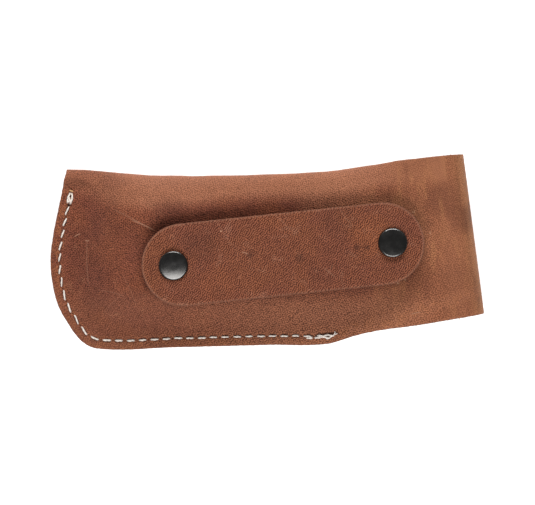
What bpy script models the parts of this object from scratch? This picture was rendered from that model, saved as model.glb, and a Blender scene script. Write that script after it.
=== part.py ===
"""Leather belt sheath for a folding drawknife, lying on its front with the belt strap up.

Every size is in millimetres and becomes metres when a mesh is made. +X runs from the closed
end to the folded flap, +Y from the stitched edge to the folded edge, +Z up to the belt strap.
"""

import math

import bmesh
import bpy
from mathutils import Matrix, Vector

MM = 0.001

# Driving dimensions
LEATHER = 2.0          # body and flap leather
STRAP_LEATHER = 2.2    # belt strap leather
GAP = 0.3              # clearance between pieces that touch
TOP = 19.0             # height of the back panel's outer face
CAP_HEIGHT = 1.9       # a snap cap's height above its leather
SNAP_STACK = 3.9       # leather face to leather face through a closed snap
FLAP_LEVEL = CAP_HEIGHT                                  # flap's outer face
FRONT_RAISED = FLAP_LEVEL + LEATHER + SNAP_STACK         # front panel's outer face over the flap
FRONT_RISE = (-52.0, -6.0)                               # the front panel climbs between these X
SEAM_LIFT = 1.3        # the seam's front face above the front panel
SEAM_PLY = 2 * LEATHER + GAP
SEAM_FLAT = 5.0        # width of the pressed seam allowance
PANEL_ROWS = (0.0, 0.05, 0.12, 0.2, 0.28, 0.36, 0.45, 0.6, 0.75, 0.86, 0.935, 1.0)
BULGE_REACH = 28.0     # distance from the seam to the full bulge
LEFT_BULGE_REACH = 32.0
FOLD_END_LIFT = 3.6    # how far the unstitched end of the back fold stays open
FOLD_END_FROM = 26.5   # Y above which the closed end is not stitched
SEAM_END = 27.0        # X where the bottom seam stops
EDGE_FLAT_FROM = 72.0  # X where the bottom edge is level with the back panel

# Outline of the back panel, seen from above
CORNER = (-83.0, -33.1)        # middle of the rounded corner
CLOSED_EDGE = [CORNER, (-88.6, -23.4), (-91.5, -12.0), (-92.1, -3.0), (-91.0, 7.0), (-89.0, 17.0),
               (-86.9, 27.0), (-85.3, 35.1)]
BOTTOM_EDGE = [CORNER, (-79.6, -37.2), (-75.6, -40.0), (-70.0, -41.1), (-40.0, -40.3), (0.0, -39.2),
               (26.0, -38.6), (30.0, -37.5), (36.0, -35.5), (46.0, -33.2), (62.0, -31.0)]
TOP_EDGE = [(-85.3, 35.1), (-71.0, 34.3), (-57.0, 33.0), (-37.0, 32.2), (-8.0, 32.6), (23.0, 33.9),
            (42.0, 36.4), (57.0, 38.8)]
TOP_EDGE_BOW = 40.0    # how far the columns lean towards the flap along the top edge

# Flap: it bends over a cylinder whose axis is turned from Y by FLAP_TURN
FLAP_TURN = math.radians(7.5)
FLAP_OUT = (math.cos(FLAP_TURN), math.sin(FLAP_TURN))
FLAP_UP = (-math.sin(FLAP_TURN), math.cos(FLAP_TURN))
FLAP_FOLD_CENTRE = (87.25, 7.6)
FLAP_RADIUS = (TOP - FLAP_LEVEL) / 2
FLAP_HALF_WIDTH = 34.25        # where the bend starts
FLAP_TAPER = 0.04              # half width lost per mm of leather
FLAP_STRAIGHT = 44.0           # straight leather after the bend, before the rounded tongue
FLAP_TONGUE = 30.0
FLAP_JOINTS = (30.0, 90.0, 150.0)   # bend angles at the three hinge lines
FLAP_SNAP_REACH = 71.0              # snap's distance from the fold line

# Belt strap
STRAP_TURN = math.radians(6.0)
STRAP_ALONG = (math.cos(STRAP_TURN), math.sin(STRAP_TURN))
STRAP_ACROSS = (-math.sin(STRAP_TURN), math.cos(STRAP_TURN))
SNAP_LEFT = (-39.9, -5.9)
SNAP_SPACING = 93.0
STRAP_HALF_WIDTH = 17.1
STRAP_END_INSET = 4.0          # from a snap in to the centre of the strap's round end
STRAP_ARCH = 1.5
STRAP_UNDER = TOP + SNAP_STACK
STRAP_JOINTS = (50.0, 73.0)    # hinge lines, measured from the left snap

# Seam
STITCH_INSET = 3.6
STITCH_PITCH = 5.04    # evened out to fit the seam
STITCH_START_Y = 25.6
STITCH_END_X = 29.0
HOLE_RADIUS = 1.1
THREAD_RADIUS = 0.3
SNAP_HOLE_RADIUS = 1.9
ROUND_STEPS = 16


def smooth(t):
    """Smooth step from 0 to 1."""
    t = min(1.0, max(0.0, t))
    return t * t * (3 - 2 * t)


def mix(a, b, t):
    return a + (b - a) * t


def blend_points(p, q, t):
    return tuple(mix(a, b, t) for a, b in zip(p, q))


def through(points, x, axis=0):
    """The other coordinate of a smooth curve through points, at x along axis (Hermite, mean slopes)."""
    other = 1 - axis
    pts = sorted(points, key=lambda p: p[axis])
    x = min(max(x, pts[0][axis]), pts[-1][axis])
    slopes = [(b[other] - a[other]) / (b[axis] - a[axis]) for a, b in zip(pts, pts[1:])]
    tangents = [slopes[0]] + [(a + b) / 2 for a, b in zip(slopes, slopes[1:])] + [slopes[-1]]
    i = next(k for k in range(len(slopes)) if x <= pts[k + 1][axis])
    step = pts[i + 1][axis] - pts[i][axis]
    t = (x - pts[i][axis]) / step
    return ((2 * t**3 - 3 * t**2 + 1) * pts[i][other] + (t**3 - 2 * t**2 + t) * step * tangents[i]
            + (3 * t**2 - 2 * t**3) * pts[i + 1][other] + (t**3 - t**2) * step * tangents[i + 1])


# ---------------------------------------------------------------- shape of the pouch

def flap_point(out, up):
    """Plan position at distances out and up from the middle of the flap's fold line."""
    return (FLAP_FOLD_CENTRE[0] + out * FLAP_OUT[0] + up * FLAP_UP[0],
            FLAP_FOLD_CENTRE[1] + out * FLAP_OUT[1] + up * FLAP_UP[1])


BEND_TOP = flap_point(-FLAP_RADIUS, FLAP_HALF_WIDTH)
BEND_BOTTOM = flap_point(-FLAP_RADIUS, -FLAP_HALF_WIDTH)


def front_level(x):
    """Height of the front panel's outer face."""
    low, high = FRONT_RISE
    return FRONT_RAISED * smooth((x - low) / (high - low))


def bulge(distance, reach):
    return smooth((distance - SEAM_FLAT) / (reach - SEAM_FLAT))


def bottom_point(u):
    x = mix(CORNER[0], BEND_BOTTOM[0], u)
    return (x, through(BOTTOM_EDGE + [BEND_BOTTOM], x))


def fold_extreme(u):
    """Outermost point of the folded top edge."""
    x = mix(TOP_EDGE[0][0], BEND_TOP[0], u) + TOP_EDGE_BOW * u * (1 - u)
    return (x, through(TOP_EDGE + [BEND_TOP], x))


def crest_height(u):
    """Height of the back panel where the top fold begins."""
    x = fold_extreme(u)[0]
    seam = front_level(x) + SEAM_PLY
    full = bulge((x - TOP_EDGE[0][0]) + SEAM_FLAT, LEFT_BULGE_REACH)
    return mix(seam + FOLD_END_LIFT, TOP, full)


def fold_radius(u):
    return (crest_height(u) - front_level(fold_extreme(u)[0])) / 2


def fold_lean(u):
    """How far the fold's section leans in X per mm of Y."""
    return mix(0.2, -math.tan(FLAP_TURN), u)


def crest_point(u):
    x, y = fold_extreme(u)
    r = fold_radius(u)
    return (x - r * fold_lean(u), y - r)


def closed_point(v):
    top = crest_point(0)
    y = mix(CORNER[1], top[1], v)
    return (through(CLOSED_EDGE, y, axis=1), y)


def panel_point(u, v):
    """Plan position on a panel, u from the closed end to the flap, v from the seam to the top fold."""
    ruled_v = blend_points(bottom_point(u), crest_point(u), v)
    ruled_u = blend_points(closed_point(v), blend_points(BEND_BOTTOM, crest_point(1), v), u)
    corners = blend_points(blend_points(bottom_point(0), crest_point(0), v),
                           blend_points(BEND_BOTTOM, crest_point(1), v), u)
    return tuple(a + b - c for a, b, c in zip(ruled_v, ruled_u, corners))


def edge_distances(u, v):
    here, side, below = panel_point(u, v), closed_point(v), bottom_point(u)
    return math.dist(here, side), math.dist(here, below)


def seam_front(x, y):
    """Height of the seam's front face, which dies into the front panel towards the top fold."""
    return front_level(x) + SEAM_LIFT * (1 - smooth((y - STITCH_START_Y) / 8))


def back_height(u, v):
    x, y = panel_point(u, v)
    from_closed, from_seam = edge_distances(u, v)
    rising = smooth((x - SEAM_END) / (EDGE_FLAT_FROM - SEAM_END))
    seam = seam_front(x, y) + SEAM_PLY
    edge = mix(seam, TOP, rising)
    side = bulge(from_closed, LEFT_BULGE_REACH)
    end_lift = FOLD_END_LIFT * smooth((y - FOLD_END_FROM) / (crest_point(0)[1] - FOLD_END_FROM))
    inside = mix(edge, TOP, bulge(from_seam, BULGE_REACH))
    return mix(seam + end_lift, inside, side)


def front_height(u, v):
    x, y = panel_point(u, v)
    from_closed, from_seam = edge_distances(u, v)
    inside = bulge(from_closed, LEFT_BULGE_REACH / 2) * bulge(from_seam, BULGE_REACH / 2)
    return mix(seam_front(x, y), front_level(x), inside)


def fold_point(u, angle):
    """A point of the top fold: angle 90 is the back crest, 0 the outermost line, -90 the front."""
    x, y = crest_point(u)
    low, high = front_height(u, 1), back_height(u, 1)
    open_out = 1 - smooth((x - SEAM_END) / (EDGE_FLAT_FROM - SEAM_END))
    across = fold_radius(u) * math.cos(math.radians(angle))
    sine = math.sin(math.radians(angle))
    if angle < 0:
        z = mix(low, high, (1 + sine) / 2)
    else:
        z = high - (high - low) / 2 * open_out * (1 - sine)
    return (x + across * fold_lean(u), y + across, z)


def bend_point(across, angle, outset=0.0):
    """A point on the flap's bend; across is -1 to 1, angle 0 at the back panel and 180 below."""
    turn = math.radians(angle)
    half = FLAP_HALF_WIDTH - FLAP_TAPER * FLAP_RADIUS * turn
    r = FLAP_RADIUS + outset
    x, y = flap_point(-FLAP_RADIUS + r * math.sin(turn), across * half)
    return (x, y, TOP - FLAP_RADIUS + r * math.cos(turn))


# ---------------------------------------------------------------- building tools

def material(name, colour, roughness, metallic):
    made = bpy.data.materials.new(name)
    made.use_nodes = True
    shader = made.node_tree.nodes["Principled BSDF"]
    shader.inputs["Base Color"].default_value = (*colour, 1.0)
    shader.inputs["Roughness"].default_value = roughness
    shader.inputs["Metallic"].default_value = metallic
    made.diffuse_color = (*colour, 1.0)
    return made


def finish(name, bm, mat, location=(0, 0, 0)):
    """Turns a bmesh in millimetres into a named, smooth-shaded object in metres."""
    bmesh.ops.scale(bm, vec=(MM, MM, MM), verts=bm.verts)
    mesh = bpy.data.meshes.new(name)
    bm.to_mesh(mesh)
    bm.free()
    mesh.shade_smooth()
    mesh.set_sharp_from_angle(angle=math.radians(40))
    mesh.materials.append(mat)
    made = bpy.data.objects.new(name, mesh)
    made.location = Vector(location) * MM
    bpy.context.scene.collection.objects.link(made)
    return made


def add_grid(bm, rows):
    """Quads between rows of points, each row a list of bmesh vertices."""
    for low, high in zip(rows, rows[1:]):
        for i in range(len(low) - 1):
            bm.faces.new((low[i], low[i + 1], high[i + 1], high[i]))


def sheet(name, rows, thickness, mat):
    """Leather of the given thickness behind a grid of points that face outwards."""
    bm = bmesh.new()
    add_grid(bm, [[bm.verts.new(p) for p in row] for row in rows])
    return thicken(finish(name, bm, mat), thickness)


def thicken(piece, thickness):
    solid = piece.modifiers.new("leather", "SOLIDIFY")
    solid.thickness = thickness * MM
    solid.offset = -1.0
    solid.use_even_offset = True
    return piece


def cutter(name, bars):
    """Round bars (x, y, low z, high z, radius, sides) joined into one cutting tool."""
    bm = bmesh.new()
    for x, y, low, high, radius, sides in bars:
        middle = Matrix.Translation((x, y, (low + high) / 2))
        bmesh.ops.create_cone(bm, cap_ends=True, segments=sides, radius1=radius, radius2=radius,
                              depth=high - low, matrix=middle)
    tool = finish(name, bm, leather_brown)
    tool.hide_render = True
    tool.display_type = "WIRE"
    return tool


def cut(piece, tool):
    hole = piece.modifiers.new("holes", "BOOLEAN")
    hole.operation = "DIFFERENCE"
    hole.solver = "EXACT"
    hole.object = tool


def turned(name, profile, mat, location, facing=1):
    """A closed profile of (radius, height) points turned about the snap's axis; facing -1 points down."""
    bm = bmesh.new()
    ring = [bm.verts.new((r, 0, h)) for r, h in profile]
    bm.edges.new((ring[-1], ring[0]))
    for a, b in zip(ring, ring[1:]):
        bm.edges.new((a, b))
    bmesh.ops.spin(bm, geom=bm.edges[:] + bm.verts[:], cent=(0, 0, 0), axis=(0, 0, 1),
                   angle=2 * math.pi, steps=ROUND_STEPS, use_duplicate=False, use_merge=True)
    bmesh.ops.remove_doubles(bm, verts=bm.verts, dist=0.001)
    bmesh.ops.dissolve_degenerate(bm, edges=bm.edges, dist=0.001)
    if facing < 0:
        bmesh.ops.rotate(bm, verts=bm.verts, matrix=Matrix.Rotation(math.pi, 3, "X"))
    bmesh.ops.recalc_face_normals(bm, faces=bm.faces)
    return finish(name, bm, mat, location)


def tube(name, points, radius, mat, sides_level=0):
    """A round cord along points in millimetres, with filled ends."""
    curve = bpy.data.curves.new(name, "CURVE")
    curve.dimensions = "3D"
    curve.bevel_depth = radius * MM
    curve.bevel_resolution = sides_level
    curve.use_fill_caps = True
    line = curve.splines.new("POLY")
    line.points.add(len(points) - 1)
    for slot, p in zip(line.points, points):
        slot.co = (*(Vector(p) * MM), 1.0)
    curve.materials.append(mat)
    made = bpy.data.objects.new(name, curve)
    bpy.context.scene.collection.objects.link(made)
    return made


# ---------------------------------------------------------------- leather pieces

def spread(count):
    """count + 1 even values from 0 to 1."""
    return [i / count for i in range(count + 1)]


def pouch_leather():
    """Back panel, top fold, front panel and the first part of the flap's bend, cut from one hide."""
    columns, mouth = 30, 21
    fold_angles = (60, 30, 0)
    bm = bmesh.new()
    back = []
    for v in PANEL_ROWS:
        back.append([bm.verts.new((*panel_point(u, v), back_height(u, v))) for u in spread(columns)])
    for angle in fold_angles:
        back.append([bm.verts.new(fold_point(u, angle)) for u in spread(columns)])
    for row in back:
        across = Vector(flap_local(row[-1].co)).y / FLAP_HALF_WIDTH
        for angle in bend_angles(0.0, FLAP_JOINTS[0] - hinge_margin(), 2)[1:]:
            row.append(bm.verts.new(bend_point(across, angle)))
    add_grid(bm, back)
    under_u = spread(columns)[: mouth + 1]
    front = [back[-1][: mouth + 1]]
    for angle in (-30, -60):
        front.append([bm.verts.new(fold_point(u, angle)) for u in under_u])
    for v in reversed(PANEL_ROWS):
        front.append([bm.verts.new((*panel_point(u, v), front_height(u, v))) for u in under_u])
    add_grid(bm, front)
    return thicken(finish("pouch_leather", bm, leather_brown), LEATHER)


def flap_local(point):
    """Distances out and up from the middle of the flap's fold line."""
    dx, dy = point[0] - FLAP_FOLD_CENTRE[0], point[1] - FLAP_FOLD_CENTRE[1]
    return (dx * FLAP_OUT[0] + dy * FLAP_OUT[1], dx * FLAP_UP[0] + dy * FLAP_UP[1])


def hinge_margin():
    """Half of the gap at a hinge line, in degrees of bend."""
    return math.degrees(GAP / 2 / (FLAP_RADIUS - LEATHER))


def across_steps(count):
    return [mix(-1, 1, i / count) for i in range(count + 1)]


def bend_angles(start, end, steps):
    """Angles from start to end, with a narrow last step at each end that squares the cut edge."""
    inner = [mix(start, end, i / steps) for i in range(1, steps)]
    return [start, start + 1.5] + inner + [end - 1.5, end]


def bend_rows(start, end, steps):
    return [[bend_point(a, angle) for angle in bend_angles(start, end, steps)] for a in across_steps(8)]


def flap_bends():
    margin = hinge_margin()
    for name, start, end in zip(("flap_bend_upper", "flap_bend_lower"), FLAP_JOINTS, FLAP_JOINTS[1:]):
        sheet(name, bend_rows(start + margin, end - margin, 4), LEATHER, leather_brown)


def flap_leather():
    """Last part of the bend, then the straight flap under the front panel and its rounded tongue."""
    rows = bend_rows(FLAP_JOINTS[-1] + hinge_margin(), 180.0, 2)
    bent = FLAP_RADIUS * math.pi
    for row, a in zip(rows, across_steps(8)):
        for i in range(1, 6):
            run = FLAP_STRAIGHT * i / 5
            half = FLAP_HALF_WIDTH - FLAP_TAPER * (bent + run)
            row.append((*flap_point(-FLAP_RADIUS - run, a * half), FLAP_LEVEL))
        for i in range(1, 6):
            t = i / 5
            out = FLAP_TONGUE * t * math.sqrt(1 - a * a / 2)
            row.append((*flap_point(-FLAP_RADIUS - FLAP_STRAIGHT - out,
                                    a * half * math.sqrt(1 - t * t / 2)), FLAP_LEVEL))
    piece = sheet("flap_leather", rows, LEATHER, leather_brown)
    x, y = FLAP_SNAP
    cut(piece, cutter("flap_cutter", [(x, y, -GAP, FLAP_LEVEL + LEATHER + 1, SNAP_HOLE_RADIUS, 12)]))
    return piece


def strap_height(along):
    """Height of the strap's top face, measured along it from the left snap: flat at the snaps."""
    nearest = min(along, SNAP_SPACING - along)
    return STRAP_UNDER + STRAP_LEATHER + STRAP_ARCH * smooth((nearest - 8) / 20)


def strap_point(along, across):
    return (SNAP_LEFT[0] + along * STRAP_ALONG[0] + across * STRAP_ACROSS[0],
            SNAP_LEFT[1] + along * STRAP_ALONG[1] + across * STRAP_ACROSS[1],
            strap_height(along))


def strap_rows(start, end, steps, round_end=0):
    """Rows of points from start to end; round_end -1 or 1 adds the rounded left or right end."""
    rows = []
    for a in across_steps(8):
        row = [(mix(start, end, i / steps), a * STRAP_HALF_WIDTH) for i in range(steps + 1)]
        rounded = []
        for i in range(1, 5):
            t = i / 4
            reach = STRAP_HALF_WIDTH * t * math.sqrt(1 - a * a / 2)
            rounded.append((reach, a * STRAP_HALF_WIDTH * math.sqrt(1 - t * t / 2)))
        if round_end > 0:
            row += [(end + reach, w) for reach, w in rounded]
        if round_end < 0:
            row = [(start - reach, w) for reach, w in reversed(rounded)] + row
        rows.append([strap_point(*p) for p in row])
    return rows


def strap_leather():
    """The belt strap in the three lengths that flex against each other."""
    left, right = STRAP_END_INSET, SNAP_SPACING - STRAP_END_INSET
    first, second = STRAP_JOINTS
    half_gap = GAP / 2
    head = sheet("strap_head", strap_rows(left, first - half_gap, 8, -1), STRAP_LEATHER, leather_strap)
    sheet("strap_middle", strap_rows(first + half_gap, second - half_gap, 4), STRAP_LEATHER, leather_strap)
    tail = sheet("strap_tail", strap_rows(second + half_gap, right, 3, 1), STRAP_LEATHER, leather_strap)
    for piece, (x, y) in ((head, SNAP_LEFT), (tail, SNAP_RIGHT)):
        bar = (x, y, STRAP_UNDER - 1, STRAP_UNDER + STRAP_LEATHER + 1, SNAP_HOLE_RADIUS, 12)
        cut(piece, cutter(piece.name + "_cutter", [bar]))


# ---------------------------------------------------------------- seam

def seam_line():
    """Points along the stitch line with their travel, from the closed end round to the seam's end."""
    raw = []
    for i in range(121):
        v = 1 - i / 120
        x, y = closed_point(v)
        raw.append((x, y))
    for i in range(1, 241):
        raw.append(bottom_point(i / 240 * 0.7))
    inset = []
    for i, (x, y) in enumerate(raw):
        ax, ay = raw[max(0, i - 3)]
        bx, by = raw[min(len(raw) - 1, i + 3)]
        length = math.dist((ax, ay), (bx, by))
        inset.append((x - (by - ay) / length * STITCH_INSET, y + (bx - ax) / length * STITCH_INSET))
    line = [p for p in inset if p[0] < STITCH_END_X and (p[0] > -80 or p[1] < STITCH_START_Y)]
    travel = [0.0]
    for a, b in zip(line, line[1:]):
        travel.append(travel[-1] + math.dist(a, b))
    count = round(travel[-1] / STITCH_PITCH)
    return line, travel, count


def on_seam(line, travel, distance):
    i = next((k for k in range(len(travel) - 1) if travel[k + 1] >= distance), len(travel) - 2)
    return blend_points(line[i], line[i + 1], (distance - travel[i]) / (travel[i + 1] - travel[i]))


def seam_holes(line, travel, count):
    return [on_seam(line, travel, travel[-1] * i / count) for i in range(count + 1)]


def thread_path(line, travel, count, side):
    """One thread of the lock stitch: along the face from hole to hole, and a loop down each hole."""
    pitch = travel[-1] / count
    leg, rise, dip = 0.42, GAP + THREAD_RADIUS, 1.35
    shape = [(leg, -0.35), (leg + 0.18, rise), (pitch - leg - 0.18, rise), (pitch - leg, -0.35),
             (pitch, -dip)]
    path = []
    for i in range(count):
        for step, up in shape[: 4 if i == count - 1 else 5]:
            x, y = on_seam(line, travel, i * pitch + step)
            face = seam_front(x, y) + (SEAM_PLY if side > 0 else 0)
            path.append((x, y, face + side * up))
    return path


# ---------------------------------------------------------------- snap fasteners

def snap(name, at, face, side, gap_below):
    """A press stud: post and stud on the panel, socket, spring and cap on the strap or flap.

    face is the height of the panel's face, side 1 when the snap stands up from it and -1 when it
    hangs down, and gap_below the leather of the strap or flap. Heights run out from the panel.
    """
    spot = (*at, face)
    under = -LEATHER - GAP
    post = [(0, under - 0.8), (5.2, under - 0.8), (5.5, under - 0.5), (5.5, under), (1.6, under),
            (1.6, 1.3), (2.2, 1.35), (2.0, 1.6), (0, 1.6)]
    stud = [(1.9, GAP), (5.6, GAP), (5.6, 0.8), (2.8, 1.0), (2.8, 1.7), (3.2, 2.2), (3.1, 2.7),
            (2.8, 2.9), (2.4, 2.7), (2.4, 1.0), (1.9, 1.0)]
    top = SNAP_STACK
    socket = [(4.4, 1.3), (5.7, 1.3), (6.0, 1.7), (6.0, top - GAP), (1.9, top - GAP),
              (1.9, top - 0.7), (3.8, top - 0.7), (3.9, 2.3), (4.4, 2.0)]
    rim = top + gap_below
    cap = [(0, 2.6), (2.0, 2.6), (2.2, 2.85), (1.6, 2.9), (1.6, rim + GAP), (5.9, rim + GAP),
           (6.25, rim + 0.6), (6.1, rim + 1.1), (5.0, rim + 1.5), (2.8, rim + 1.8), (0, rim + CAP_HEIGHT)]
    turned(name + "_post", post, gunmetal, spot, side)
    turned(name + "_stud", stud, gunmetal, spot, side)
    turned(name + "_socket", socket, gunmetal, spot, side)
    turned(name + "_cap", cap, cap_black, spot, side)
    ring = []
    for i in range(19):
        turn = math.radians(15 + 330 * i / 18)
        ring.append((at[0] + 3.75 * math.cos(turn), at[1] + 3.75 * math.sin(turn), face + side * 1.7))
    tube(name + "_spring", ring, 0.25, spring_steel)


# ---------------------------------------------------------------- assembly

for old in list(bpy.data.objects):
    bpy.data.objects.remove(old)

leather_brown = material("leather_brown", (0.24, 0.098, 0.05), 0.62, 0.0)
leather_strap = material("leather_strap", (0.20, 0.078, 0.045), 0.6, 0.0)
thread_white = material("thread_white", (0.82, 0.76, 0.68), 0.8, 0.0)
cap_black = material("cap_black", (0.03, 0.03, 0.032), 0.28, 0.9)
gunmetal = material("gunmetal", (0.08, 0.08, 0.085), 0.35, 0.9)
spring_steel = material("spring_steel", (0.45, 0.45, 0.46), 0.3, 1.0)

SNAP_RIGHT = (SNAP_LEFT[0] + SNAP_SPACING * STRAP_ALONG[0], SNAP_LEFT[1] + SNAP_SPACING * STRAP_ALONG[1])
FLAP_SNAP = flap_point(-FLAP_SNAP_REACH, 0)

pouch = pouch_leather()
flap_bends()
flap_leather()
strap_leather()

seam = seam_line()
holes = [(x, y, seam_front(x, y) - 1.5, seam_front(x, y) + SEAM_PLY + 1.5, HOLE_RADIUS, 8)
         for x, y in seam_holes(*seam)]
holes += [(x, y, TOP - LEATHER - 1.5, TOP + 1.5, SNAP_HOLE_RADIUS, 12) for x, y in (SNAP_LEFT, SNAP_RIGHT)]
holes.append((*FLAP_SNAP, FRONT_RAISED - 1.5, FRONT_RAISED + LEATHER + 1.5, SNAP_HOLE_RADIUS, 12))
cut(pouch, cutter("pouch_cutter", holes))
tube("needle_thread", thread_path(*seam, 1), THREAD_RADIUS, thread_white)
tube("bobbin_thread", thread_path(*seam, -1), THREAD_RADIUS, thread_white)

snap("strap_left", SNAP_LEFT, TOP, 1, STRAP_LEATHER)
snap("strap_right", SNAP_RIGHT, TOP, 1, STRAP_LEATHER)
snap("flap", FLAP_SNAP, FRONT_RAISED, -1, LEATHER)
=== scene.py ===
"""Leather belt sheath: the finished look of its hide, strap, thread and press studs.

Shapes are worked out in millimetres as numpy surfaces and become metres when a mesh is made.
+X runs from the closed end to the folded flap, +Y to the folded edge, +Z up to the belt strap.
"""

import math

import bmesh
import bpy
import numpy as np
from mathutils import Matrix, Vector


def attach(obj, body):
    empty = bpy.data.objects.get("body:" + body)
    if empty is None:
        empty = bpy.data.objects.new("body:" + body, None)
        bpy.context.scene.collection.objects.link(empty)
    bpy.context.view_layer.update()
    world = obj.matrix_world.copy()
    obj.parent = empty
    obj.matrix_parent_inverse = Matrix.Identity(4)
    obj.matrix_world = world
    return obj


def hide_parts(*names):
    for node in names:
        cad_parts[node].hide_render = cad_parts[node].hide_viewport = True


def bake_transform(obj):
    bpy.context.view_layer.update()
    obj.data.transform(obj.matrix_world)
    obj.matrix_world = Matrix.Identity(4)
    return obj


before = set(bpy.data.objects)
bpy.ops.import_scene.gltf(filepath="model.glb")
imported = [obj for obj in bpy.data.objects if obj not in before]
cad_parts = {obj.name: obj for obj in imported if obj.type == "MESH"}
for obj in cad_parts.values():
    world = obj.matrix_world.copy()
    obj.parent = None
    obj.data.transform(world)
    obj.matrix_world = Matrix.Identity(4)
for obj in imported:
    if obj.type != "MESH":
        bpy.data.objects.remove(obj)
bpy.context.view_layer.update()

MM = 0.001

# Body hide, in the sizes of the part
LEATHER = 2.0
GAP = 0.3               # left between plies and between metal and leather
TOP = 19.0
CAP_HEIGHT = 1.9
SNAP_STACK = 3.9        # height of a closed press stud between the two leathers it joins
FLAP_LEVEL = CAP_HEIGHT
FRONT_RAISED = FLAP_LEVEL + LEATHER + SNAP_STACK
FRONT_RISE = (-52.0, -6.0)
SEAM_LIFT = 1.3
SEAM_PLY = 2 * LEATHER + GAP
SEAM_FLAT = 5.0
BULGE_REACH = 28.0
LEFT_BULGE_REACH = 32.0
FOLD_END_LIFT = 3.6
FOLD_END_FROM = 26.5
SEAM_END = 27.0
EDGE_FLAT_FROM = 72.0
MOUTH = 0.7            # share of the length where the front panel ends
FOLD_EASE = 12.0        # reach of the softening beyond the top fold, and how far it drops there
FOLD_DROP = 0.9
VALLEY = 1.6            # dip of the back panel under the strap
FLAP_PULL = 0.45        # how far the hide goes pale over the flap's bend

CORNER = (-83.0, -33.1)
CLOSED_EDGE = [CORNER, (-88.6, -23.4), (-91.5, -12.0), (-92.1, -3.0), (-91.0, 7.0), (-89.0, 17.0),
               (-86.9, 27.0), (-85.3, 35.1)]
BOTTOM_EDGE = [CORNER, (-79.6, -37.2), (-75.6, -40.0), (-70.0, -41.1), (-40.0, -40.3), (0.0, -39.2),
               (26.0, -38.6), (30.0, -37.5), (36.0, -35.5), (46.0, -33.2), (62.0, -31.0)]
TOP_EDGE = [(-85.3, 35.1), (-71.0, 34.3), (-57.0, 33.0), (-37.0, 32.2), (-8.0, 32.6), (23.0, 33.9),
            (42.0, 36.4), (57.0, 38.8)]
TOP_EDGE_BOW = 40.0

FLAP_TURN = math.radians(7.5)
FLAP_FOLD_CENTRE = (87.25, 7.6)
FLAP_RADIUS = (TOP - FLAP_LEVEL) / 2
FLAP_HALF_WIDTH = 34.25
FLAP_TAPER = 0.04
FLAP_STRAIGHT = 44.0
FLAP_TONGUE = 30.0
FLAP_SNAP_REACH = 71.0

# Belt strap
STRAP_LEATHER = 2.2
STRAP_TURN = math.radians(6.0)
SNAP_LEFT = (-39.9, -5.9)
SNAP_SPACING = 93.0
STRAP_HALF_WIDTH = 17.1
STRAP_END_INSET = 4.0
STRAP_ARCH = 1.5
STRAP_UNDER = TOP + SNAP_STACK
STRAP_JOINTS = (50.0, 73.0)
STRAP_SPLIT = 56.0

# Seam
STITCH_INSET = 3.6
STITCH_PITCH = 5.04
STITCH_START_Y = 24.9
STITCH_END_X = 29.0
THREAD_RADIUS = 0.47
CORNER_STRETCH = 4.2    # length that the longer stitches round the lower corner take up
PLY_TWIST = 3.6         # turns of the thread's plies, in radians for each millimetre


# ---- arithmetic on arrays

def smooth(t):
    """Smooth step: 3t^2 - 2t^3 between 0 and 1."""
    t = np.clip(t, 0.0, 1.0)
    return t * t * (3 - 2 * t)


def mix(a, b, t):
    return a + (b - a) * t


def through(knots, x, axis=0):
    """Smooth curve through knots: cubic Hermite pieces whose slope at a knot is its neighbours' mean."""
    knots = np.array(sorted(knots, key=lambda p: p[axis]))
    at, value = knots[:, axis], knots[:, 1 - axis]
    slope = np.diff(value) / np.diff(at)
    tangent = np.concatenate([slope[:1], (slope[1:] + slope[:-1]) / 2, slope[-1:]])
    x = np.clip(x, at[0], at[-1])
    i = np.clip(np.searchsorted(at, x) - 1, 0, len(slope) - 1)
    step = at[i + 1] - at[i]
    t = (x - at[i]) / step
    return ((2 * t**3 - 3 * t**2 + 1) * value[i] + (t**3 - 2 * t**2 + t) * step * tangent[i]
            + (3 * t**2 - 2 * t**3) * value[i + 1] + (t**3 - t**2) * step * tangent[i + 1])


def unit(v):
    return v / np.maximum(np.linalg.norm(v, axis=-1, keepdims=True), 1e-9)


def stacked(*parts):
    """Coordinates of a grid from numbers and from arrays that span its rows, its columns or both."""
    return np.stack(np.broadcast_arrays(*parts), -1)


def left_of(direction):
    """Plan directions turned a quarter round to the left."""
    return np.stack([-direction[..., 1], direction[..., 0]], -1)


def once_round(count):
    """Angles spread evenly over a full turn."""
    return np.linspace(0, 2 * math.pi, count, endpoint=False)


def scatter(count, seed):
    """count repeatable numbers from 0 to 1: the fractional part of a large sine."""
    return np.mod(np.sin(np.arange(count) * 12.9898 + seed * 78.233) * 43758.5453, 1.0)


def drift(x, y, size, seed):
    """Slow unevenness from -1 to 1: the mean of five plane waves of about the given size."""
    total = 0
    for k in range(5):
        turn = seed * 1.7 + k * 2.4
        wave = (1 + 0.37 * k) * 2 * math.pi / size
        total = total + np.sin((x * math.cos(turn) + y * math.sin(turn)) * wave + seed * 3.1 + k * 1.3)
    return total / 5


# ---- shape of the body hide

def turned_plan(origin, turn, along, across):
    """Plan position at distances along a direction turned from +X and across it to the left."""
    return (origin[0] + along * math.cos(turn) - across * math.sin(turn),
            origin[1] + along * math.sin(turn) + across * math.cos(turn))


def flap_point(out, up):
    """Plan position at distances out and up from the middle of the flap's fold line."""
    return turned_plan(FLAP_FOLD_CENTRE, FLAP_TURN, out, up)


def strap_plan(along, across):
    """Plan position at distances along the strap from its left snap, and across it."""
    return turned_plan(SNAP_LEFT, STRAP_TURN, along, across)


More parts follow.
